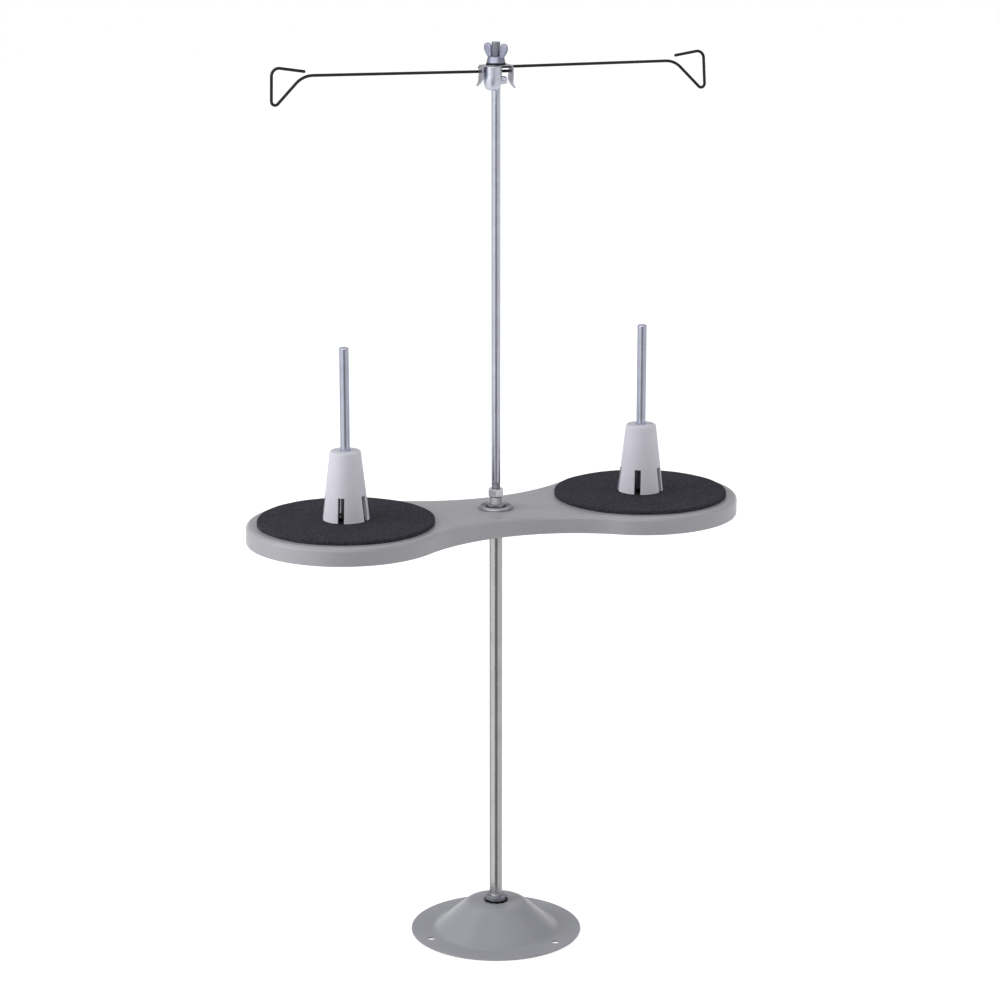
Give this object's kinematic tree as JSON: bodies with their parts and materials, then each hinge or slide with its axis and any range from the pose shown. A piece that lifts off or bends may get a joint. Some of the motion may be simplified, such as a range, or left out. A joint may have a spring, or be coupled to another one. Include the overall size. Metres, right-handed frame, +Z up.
{
  "type": "spool thread stand",
  "caption": "Free-standing thread stand: round pressed base, slim post, dog-bone spool tray with foam pads, pins and cone holders, and a wing-nut clamp with bent guide wires.",
  "frame": {"origin": "centre of the base on the surface that it stands on", "axes": "+Z up along the post, +X along the tray from the left spool pin to the right one, -Y towards the front"},
  "size_m": [0.352, 0.135, 0.626],
  "materials": {
    "base_paint": "satin grey paint",
    "tray_paint": "satin grey paint",
    "zinc_plate": "bright zinc plate",
    "dark_zinc": "dark zinc plate",
    "plated_tube": "drawn and plated",
    "plated_rod": "drawn and plated",
    "pad_foam": "coarse black foam",
    "cone_plastic": "moulded, fine matte",
    "cast_zinc": "tumbled casting",
    "wire_black": "black oxide"
  },
  "bodies": {
    "root": {"base_dish": "base_paint", "base_lock_washer": "dark_zinc", "base_top_nut": "zinc_plate", "base_bottom_washer": "zinc_plate", "base_bottom_nut": "zinc_plate", "lower_tube": "plated_tube", "tray_bottom_nut": "zinc_plate", "tray_bottom_washer": "zinc_plate", "tray_top_washer": "zinc_plate", "tray_top_nut": "dark_zinc", "rod_lock_nut": "zinc_plate", "upper_rod": "plated_rod"},
    "tray": {"spool_tray": "tray_paint", "left_spool_pin": "plated_rod", "right_spool_pin": "plated_rod", "pin_top_nuts": "zinc_plate", "pin_washers": "zinc_plate", "pin_bottom_nuts": "zinc_plate", "left_pad": "pad_foam", "right_pad": "pad_foam"},
    "left_cone": {"left_cone": "cone_plastic"},
    "right_cone": {"right_cone": "cone_plastic"},
    "head": {"clamp_body": "cast_zinc", "clamp_screw": "dark_zinc"},
    "left_wire": {"left_guide_wire": "wire_black"},
    "right_wire": {"right_guide_wire": "wire_black"},
    "strap": {"clamp_strap": "zinc_plate", "wing_washer": "dark_zinc"},
    "wing_nut": {"wing_nut": "cast_zinc"}
  },
  "joints": [
    {"name": "tray_swivel", "type": "hinge", "parent": "root", "child": "tray", "pos_m": [0, 0, 0.3085], "axis": [0, 0, 1], "continuous": true},
    {"name": "left_cone_lift", "type": "slide", "parent": "tray", "child": "left_cone", "axis": [0, 0, 1], "range_m": [0, 0.125]},
    {"name": "right_cone_lift", "type": "slide", "parent": "tray", "child": "right_cone", "axis": [0, 0, 1], "range_m": [0, 0.125]},
    {"name": "head_swivel", "type": "hinge", "parent": "root", "child": "head", "pos_m": [0, 0, 0.6], "axis": [0, 0, 1], "continuous": true},
    {"name": "left_wire_slide", "type": "slide", "parent": "head", "child": "left_wire", "axis": [-0.9998, 0, 0.0175], "range_m": [-0.04, 0.006]},
    {"name": "right_wire_slide", "type": "slide", "parent": "head", "child": "right_wire", "axis": [1, 0, -0.0052], "range_m": [-0.04, 0.006]},
    {"name": "strap_lift", "type": "slide", "parent": "head", "child": "strap", "axis": [0, 0, 1], "range_m": [0, 0.001]},
    {"name": "wing_nut_turn", "type": "hinge", "parent": "strap", "child": "wing_nut", "pos_m": [0, 0, 0.612], "axis": [0, 0, 1], "range_deg": [0, 360]}
  ],
  "couplings": [
    {"joint": "strap_lift", "follows": "wing_nut_turn", "m_per_rad": 0.00015915}
  ]
}
